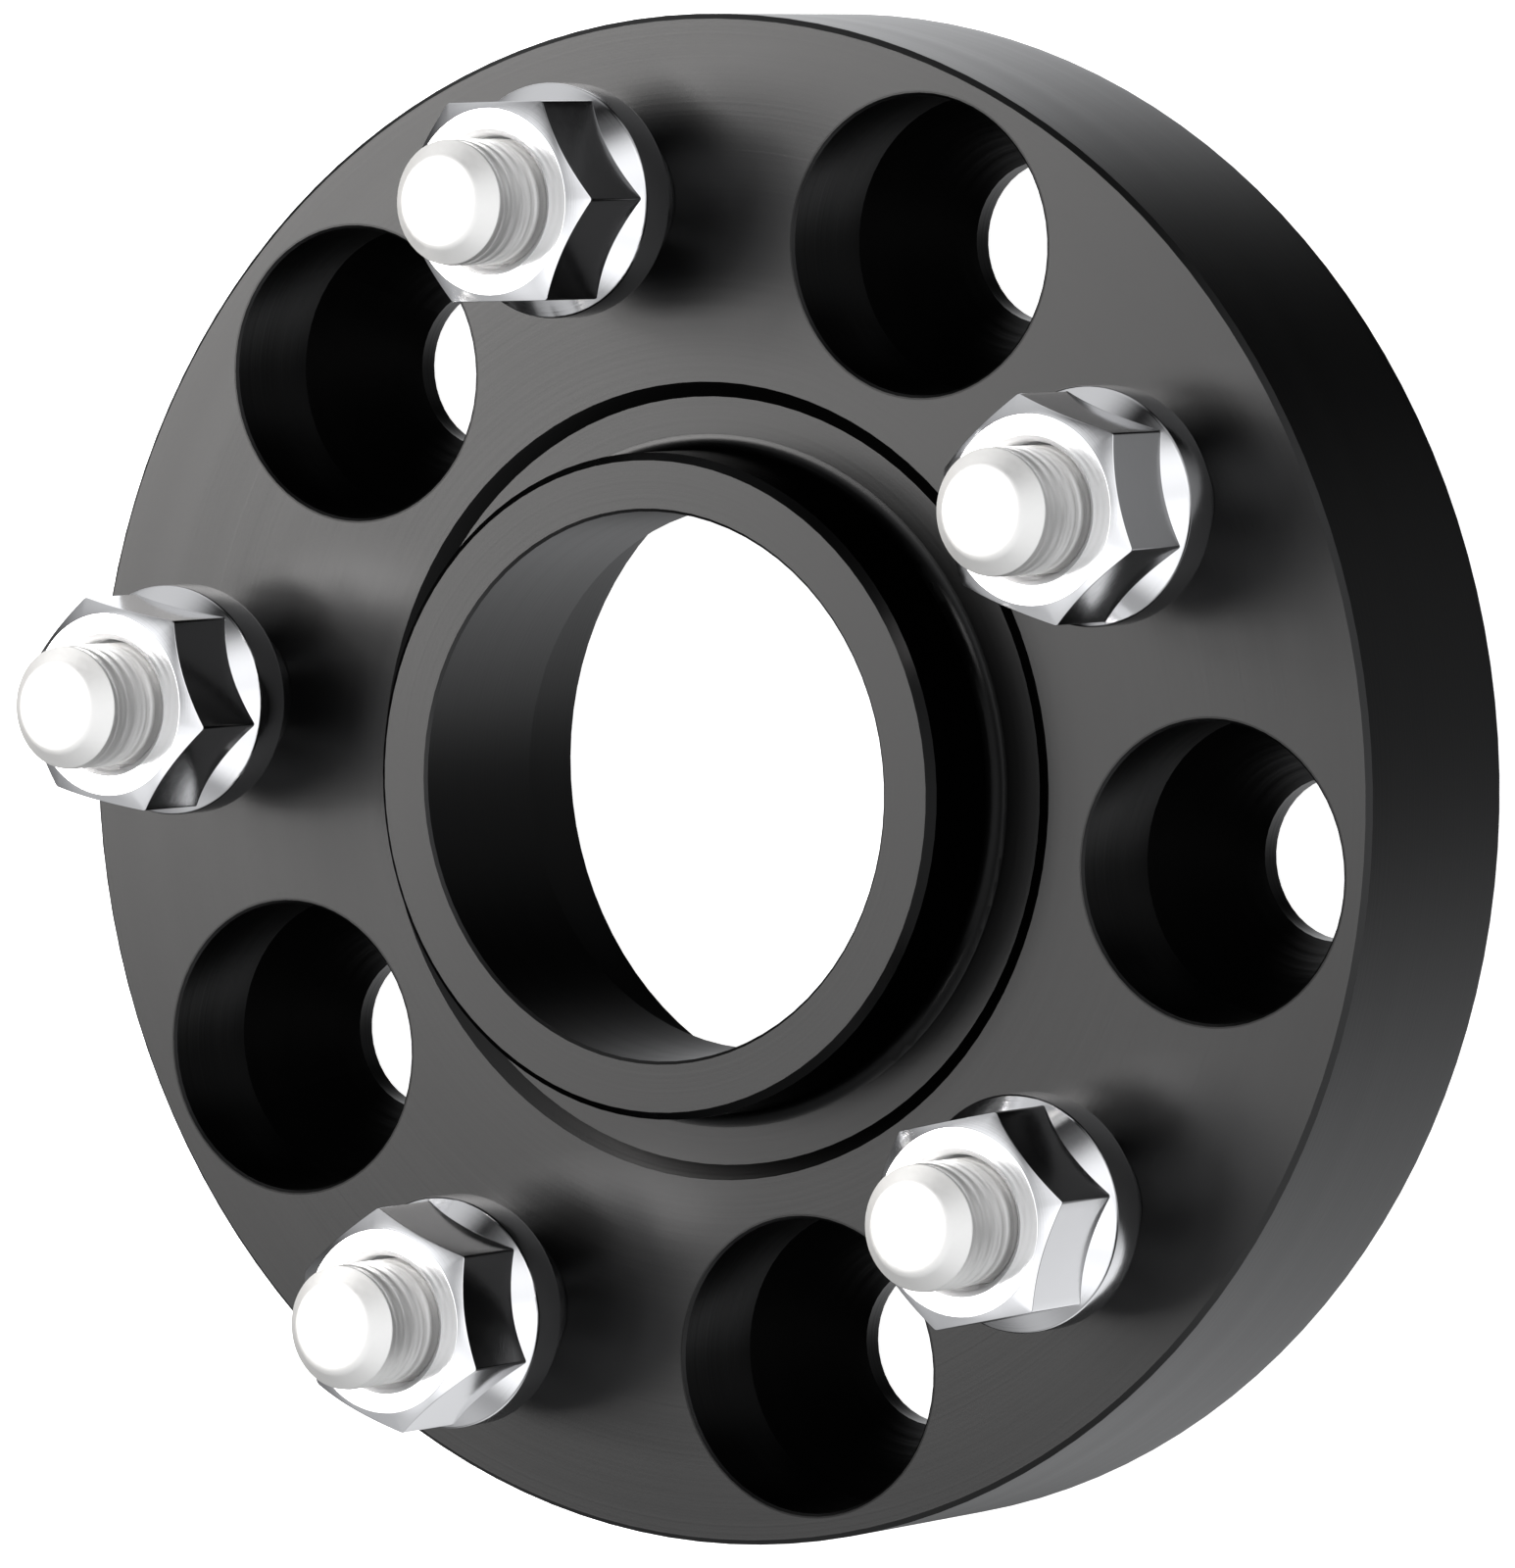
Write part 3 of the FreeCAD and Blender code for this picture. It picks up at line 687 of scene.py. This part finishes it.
# %% [markdown]
# A nut: from the seat up it is a cone, a round collar, a bell that slopes up to the flats, the
# hexagon, and a chamfer that cuts the hexagon's corners in arcs. For each angle the distance to the
# hexagon is worked out first. Where the bell and the chamfer meet it then follows by itself, so the
# curved edges of a real machined nut need no cutting of one solid from another.

# %% Columns of a hexagon
FLAT_STEPS, CORNER_STEPS = 14, 6  # columns on a flat and round a corner


def hexagon_columns(flats, corner_radius):
    """(angle, distance) pairs round a hexagon with rounded corners, corner first."""
    columns = []
    side, half_side = math.pi / 3, math.pi / 6  # as angles, seen from the axis
    centre = flats / math.sqrt(3) - corner_radius / math.cos(half_side)
    bends = [half_side * (2 * k / CORNER_STEPS - 1) for k in range(CORNER_STEPS + 1)]
    arc = [
        Vector((centre + corner_radius * math.cos(a), corner_radius * math.sin(a))) for a in bends
    ]
    # The next corner begins where this one ends, mirrored in the middle of the flat.
    start = arc[-1]
    end = Vector((
        math.cos(side) * start.x + math.sin(side) * start.y,
        math.sin(side) * start.x - math.cos(side) * start.y,
    ))
    flat = [start.lerp(end, k / FLAT_STEPS) for k in range(1, FLAT_STEPS)]
    for number in range(6):
        columns += [(math.atan2(p.y, p.x) + number * side, p.length) for p in arc + flat]
    return columns


print("a hexagon has", 6 * (CORNER_STEPS + FLAT_STEPS), "columns")

# %% [markdown]
# The nut's sizes are those of the CAD model, whose own nut could be shown as it is. It is made again
# with softly rounded edges, and with the thin dark gap that the photograph shows round each stud,
# where the nut's thread starts: the bore is a little wider there. The thread itself lies out of
# sight, so the rest of the bore is plain. The nut's height comes from the box of the CAD nut.

# %% Nut shape
NUT = "wheel_nut_{}"
NUT_FLATS = 19.0 * MM
NUT_CORNER_RADIUS = 0.4 * MM
NUT_COLLAR_MARGIN = 0.33 * MM
NUT_COLLAR_TOP = 11.1 * MM
NUT_COLLAR_EDGE = 0.6 * MM
NUT_SEAT_HALF_ANGLE = math.radians(30)
NUT_SEAT_SMALL = 7.07 * MM
NUT_BELL_ANGLE = math.radians(45)
NUT_END_ANGLE = math.radians(35)
NUT_END_INSET = 0.6 * MM
NUT_BORE = 6.05 * MM
NUT_END_MOUTH = 0.95 * MM
NUT_SEAT_MOUTH = 0.55 * MM
NUT_LEAD = 0.35 * MM  # the gap round the stud where the thread starts
NUT_LEAD_DEPTH = 2.0 * MM
NUT_SOFTNESS = 0.15 * MM  # rounding of the other edges

nut_low, nut_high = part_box(NUT.format(1))
nut_height = nut_high.z - nut_low.z
nut_collar = NUT_FLATS / math.sqrt(3) + NUT_COLLAR_MARGIN


def nut_outline(reach):
    """The nut's outline where the hexagon is at this distance from the axis."""
    seat_top = (nut_collar - NUT_SEAT_SMALL) / math.tan(NUT_SEAT_HALF_ANGLE)
    end = NUT_FLATS / 2 - NUT_END_INSET
    lead_top = nut_height - NUT_END_MOUTH + NUT_LEAD
    lead_foot = nut_height - NUT_END_MOUTH - NUT_LEAD_DEPTH
    return rounded([
        (NUT_SEAT_SMALL, 0, NUT_SOFTNESS),
        (nut_collar, seat_top, NUT_COLLAR_EDGE),
        (nut_collar, NUT_COLLAR_TOP, NUT_COLLAR_EDGE),
        (reach, NUT_COLLAR_TOP + (nut_collar - reach) * math.tan(NUT_BELL_ANGLE), NUT_SOFTNESS),
        (reach, nut_height - (reach - end) * math.tan(NUT_END_ANGLE), NUT_SOFTNESS),
        (end, nut_height, NUT_SOFTNESS),
        (NUT_BORE + NUT_END_MOUTH, nut_height, NUT_SOFTNESS),
        (NUT_BORE + NUT_LEAD, lead_top, 0),
        (NUT_BORE + NUT_LEAD, lead_foot, 0),
        (NUT_BORE, lead_foot, 0),
        (NUT_BORE, NUT_SEAT_MOUTH, 0),
        (NUT_BORE + NUT_SEAT_MOUTH, 0, NUT_SOFTNESS),
    ])


def make_nut_mesh():
    columns = hexagon_columns(NUT_FLATS, NUT_CORNER_RADIUS)
    angles = [angle for angle, reach in columns]
    return skin("nut", angles, [nut_outline(reach) for angle, reach in columns], closed=True)


nut_mesh = make_nut_mesh()
print(f"nut {nut_height / MM:.1f} mm high, collar {2 * nut_collar / MM:.1f} mm across,",
      len(nut_mesh.polygons), "faces")

# %% [markdown]
# The nuts' finish is bright plating over machined steel: nearly a mirror, a little cool. A perfect
# mirror would look like a rendering, so under the plating lie the fine rings of the lathe, from the
# same group as the ring's, with a smaller spacing. The mouth of the thread is cut after the
# polishing and looks duller, so the roughness goes up inside it.

# %% Bright plating
PLATING_TONE = (0.80, 0.80, 0.81, 1)
PLATING_ROUGHNESS, PLATING_SPREAD = 0.14, 0.06
PLATING_MARK_SPACING = 0.25 * MM
PLATING_MARK_SEED = 2.0
PLATING_GRAIN_SCALE, PLATING_GRAIN_DETAIL = 900, 4
PLATING_RELIEF, PLATING_RELIEF_DEPTH = 0.3, 0.01 * MM
MOUTH_DULLNESS = 0.35


def make_plating():
    material, tree = new_material("bright_plating")
    position = tree.nodes.new("ShaderNodeTexCoord").outputs["Object"]
    x, y, height = split_vector(tree, position)
    radius = flat_length(tree, x, y)
    marks = add_group(tree, turned_marks, Radius=radius, Height=height,
                      Spacing=PLATING_MARK_SPACING, Seed=PLATING_MARK_SEED)
    grain = add_group(tree, metal_grain, Place=position,
                      Scale=PLATING_GRAIN_SCALE, Detail=PLATING_GRAIN_DETAIL)["Grain"]
    mouth = below(tree, radius, NUT_BORE + NUT_END_MOUTH)
    rough = vary(tree, PLATING_ROUGHNESS, PLATING_SPREAD, grain)
    rough = add(tree, rough, times(tree, mouth, MOUTH_DULLNESS))
    relief = add(tree, grain, marks["Fine"])
    end_metal(tree, PLATING_TONE, rough, relief, PLATING_RELIEF, PLATING_RELIEF_DEPTH)
    return material


nut_mesh.materials.append(make_plating())
print("nut mesh in", nut_mesh.materials[0].name)

# %% [markdown]
# Each nut stopped at its own turn when it was tightened, and the flats mirror the light accordingly,
# so the turns were measured in the photograph. All five nuts share one mesh. Each stands in for the
# CAD model's nut, which stays hidden at the same place, and rides on the same body.

# %% Nuts in place
NUT_TURNS = [47.8, 8.2, 55.9, 44.1, 19.0]  # degrees


def place(piece_name, node, mesh, turn, slot):
    """Stand a piece on a CAD node's axis, in place of that node."""
    low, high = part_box(node)
    piece = add_object(piece_name, mesh)
    piece.location = ((low.x + high.x) / 2, (low.y + high.y) / 2, low.z)
    piece.rotation_euler = (0, 0, math.radians(turn))
    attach(piece, "root")
    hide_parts(node)


for number, turn in enumerate(NUT_TURNS, start=1):
    place(f"nut_{number}", NUT.format(number), nut_mesh, turn, "plated_nut")
print(len(NUT_TURNS), "nuts placed")

# %% [markdown]
# A stud's thread could be a bump in the material, but its ripple shows on the stud's outline, so it
# is a true helix in the mesh: at each angle the profile is shifted along the stud by that share of
# one pitch. A real thread of this size is nearly 1 mm deep. The photograph hardly shows one, so here
# it is a shallow ripple that follows the photograph. A chamfer cuts the thread off at the tip, and
# the end of the chamfer is rounded over.

# %% Thread and tip
STUD = "wheel_stud_{}"
THREAD_RADIUS = mounts["wheel_studs"]["stud_r_mm"] * MM
THREAD_PITCH = 1.5 * MM
THREAD_DEPTH = 0.09 * MM
CREST_SHARE, FLANK_SHARE = 0.15, 0.65  # of half a pitch
TIP_CHAMFER = 1.9 * MM
TIP_ROUNDING = 1.6 * MM
TIP_RING = 2.1 * MM  # a ring on the flat tip, with one face inside it
FINE_ROWS, HIDDEN_ROWS = 24, 6  # rows of faces for each turn of the thread

stud_low, stud_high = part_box(STUD.format(1))
stud_length = stud_high.z - stud_low.z


def thread_radius(angle, height):
    """A rolled thread: flat crest, straight flanks with soft ends, wider root."""
    share = (height / THREAD_PITCH - angle / (2 * math.pi)) % 1
    from_crest = abs(2 * share - 1)
    fall = min(max((from_crest - CREST_SHARE) / FLANK_SHARE, 0), 1)
    fall = fall * fall * (3 - 2 * fall)
    return THREAD_RADIUS - THREAD_DEPTH * fall


def thread_heights(start, end, open_from):
    """Heights of the rows: few where the nut hides the thread, many where it shows."""
    heights, z = [], start
    while z < end:
        heights.append(z)
        z += THREAD_PITCH / (HIDDEN_ROWS if z < open_from else FINE_ROWS)
    return heights


def chamfer_radius(height):
    """Distance from the axis where the 45 degree chamfer, rounded at its end, cuts the stud."""
    tip_radius = THREAD_RADIUS - TIP_CHAMFER
    below_tip = stud_length - height
    reach = TIP_ROUNDING * math.tan(math.pi / 8)
    if below_tip > reach * math.sqrt(0.5):
        return tip_radius + below_tip
    return tip_radius - reach + math.sqrt(TIP_ROUNDING ** 2 - (TIP_ROUNDING - below_tip) ** 2)


print(f"stud {stud_length / MM:.1f} mm long, thread {2 * THREAD_RADIUS / MM:.0f} mm across")

# %% [markdown]
# Below the thread, a stud has a head that stops it in its pocket, a shoulder with serrations that
# bite into the pressed hole, and a groove where the thread tool runs out. The CAD stud has them too,
# but a piece that stands in for it has to be whole, so they are part of the same outline. Every
# other column is set in by the depth of a serration, and that alone makes the row of them.

# %% Stud shape
HEAD_RADIUS = 9.5 * MM
HEAD_CHAMFER = 0.8 * MM
HEAD_THICKNESS = 4.0 * MM
SHOULDER_RADIUS = 6.6 * MM
SHOULDER_LENGTH = 9.0 * MM
SERRATION_DEPTH = 0.45 * MM
RELIEF_RADIUS = 5.4 * MM
RELIEF_WIDTH = 2.0 * MM
STUD_COLUMNS = 96
SHARP_EDGE = math.radians(40)

shoulder_end = HEAD_THICKNESS + SHOULDER_LENGTH
relief_start = shoulder_end + SHOULDER_RADIUS - RELIEF_RADIUS
relief_end = relief_start + RELIEF_WIDTH
thread_start = relief_end + (THREAD_RADIUS - RELIEF_RADIUS)


def stud_outline(column, heights):
    angle = 2 * math.pi * column / STUD_COLUMNS
    shoulder = SHOULDER_RADIUS - SERRATION_DEPTH * (column % 2)
    foot = [
        (HEAD_RADIUS - HEAD_CHAMFER, 0),
        (HEAD_RADIUS, HEAD_CHAMFER),
        (HEAD_RADIUS, HEAD_THICKNESS),
        (shoulder, HEAD_THICKNESS),
        (shoulder, shoulder_end),
        (RELIEF_RADIUS, relief_start),
        (RELIEF_RADIUS, relief_end),
    ]
    thread = [(min(thread_radius(angle, z), chamfer_radius(z)), z) for z in heights]
    tip = [(chamfer_radius(stud_length), stud_length), (TIP_RING, stud_length)]
    return foot + thread + tip


def make_stud_mesh():
    shown_from = nut_high.z - stud_low.z - NUT_END_MOUTH - THREAD_PITCH
    heights = thread_heights(thread_start, stud_length, shown_from)
    columns = range(STUD_COLUMNS)
    angles = [2 * math.pi * column / STUD_COLUMNS for column in columns]
    return skin("stud", angles, [stud_outline(column, heights) for column in columns], closed=False)


stud_mesh = make_stud_mesh()
stud_mesh.set_sharp_from_angle(angle=SHARP_EDGE)
print("stud mesh:", len(stud_mesh.polygons), "faces")

# %% [markdown]
# The studs are zinc plated: a fine, matt, silvery grey, much softer than the nuts' bright plating.
# A grey paint would lose the bright edge that faces the soft boxes. So it is a metal as well, with a
# high roughness, and the grain stands out more in it than in the others.

# %% Zinc finish
ZINC_TONE = (0.79, 0.785, 0.77, 1)
ZINC_ROUGHNESS, ZINC_SPREAD = 0.52, 0.10
ZINC_GRAIN_SCALE, ZINC_GRAIN_DETAIL = 2500, 3
ZINC_RELIEF, ZINC_RELIEF_DEPTH = 0.4, 0.02 * MM


def make_zinc():
    material, tree = new_material("matt_zinc")
    position = tree.nodes.new("ShaderNodeTexCoord").outputs["Object"]
    grain = add_group(tree, metal_grain, Place=position,
                      Scale=ZINC_GRAIN_SCALE, Detail=ZINC_GRAIN_DETAIL)["Grain"]
    rough = vary(tree, ZINC_ROUGHNESS, ZINC_SPREAD, grain)
    end_metal(tree, ZINC_TONE, rough, grain, ZINC_RELIEF, ZINC_RELIEF_DEPTH)
    return material


stud_mesh.materials.append(make_zinc())
print("stud mesh in", stud_mesh.materials[0].name)

# %% [markdown]
# The studs are round, so unlike the nuts they need no turn of their own. They share one mesh as well:
# five copies of it would look the same and take five times the memory.

# %% Studs in place
for number in range(1, HOLE_COUNT + 1):
    place(f"stud_{number}", STUD.format(number), stud_mesh, 0, "stud_steel")
print(HOLE_COUNT, "studs placed")
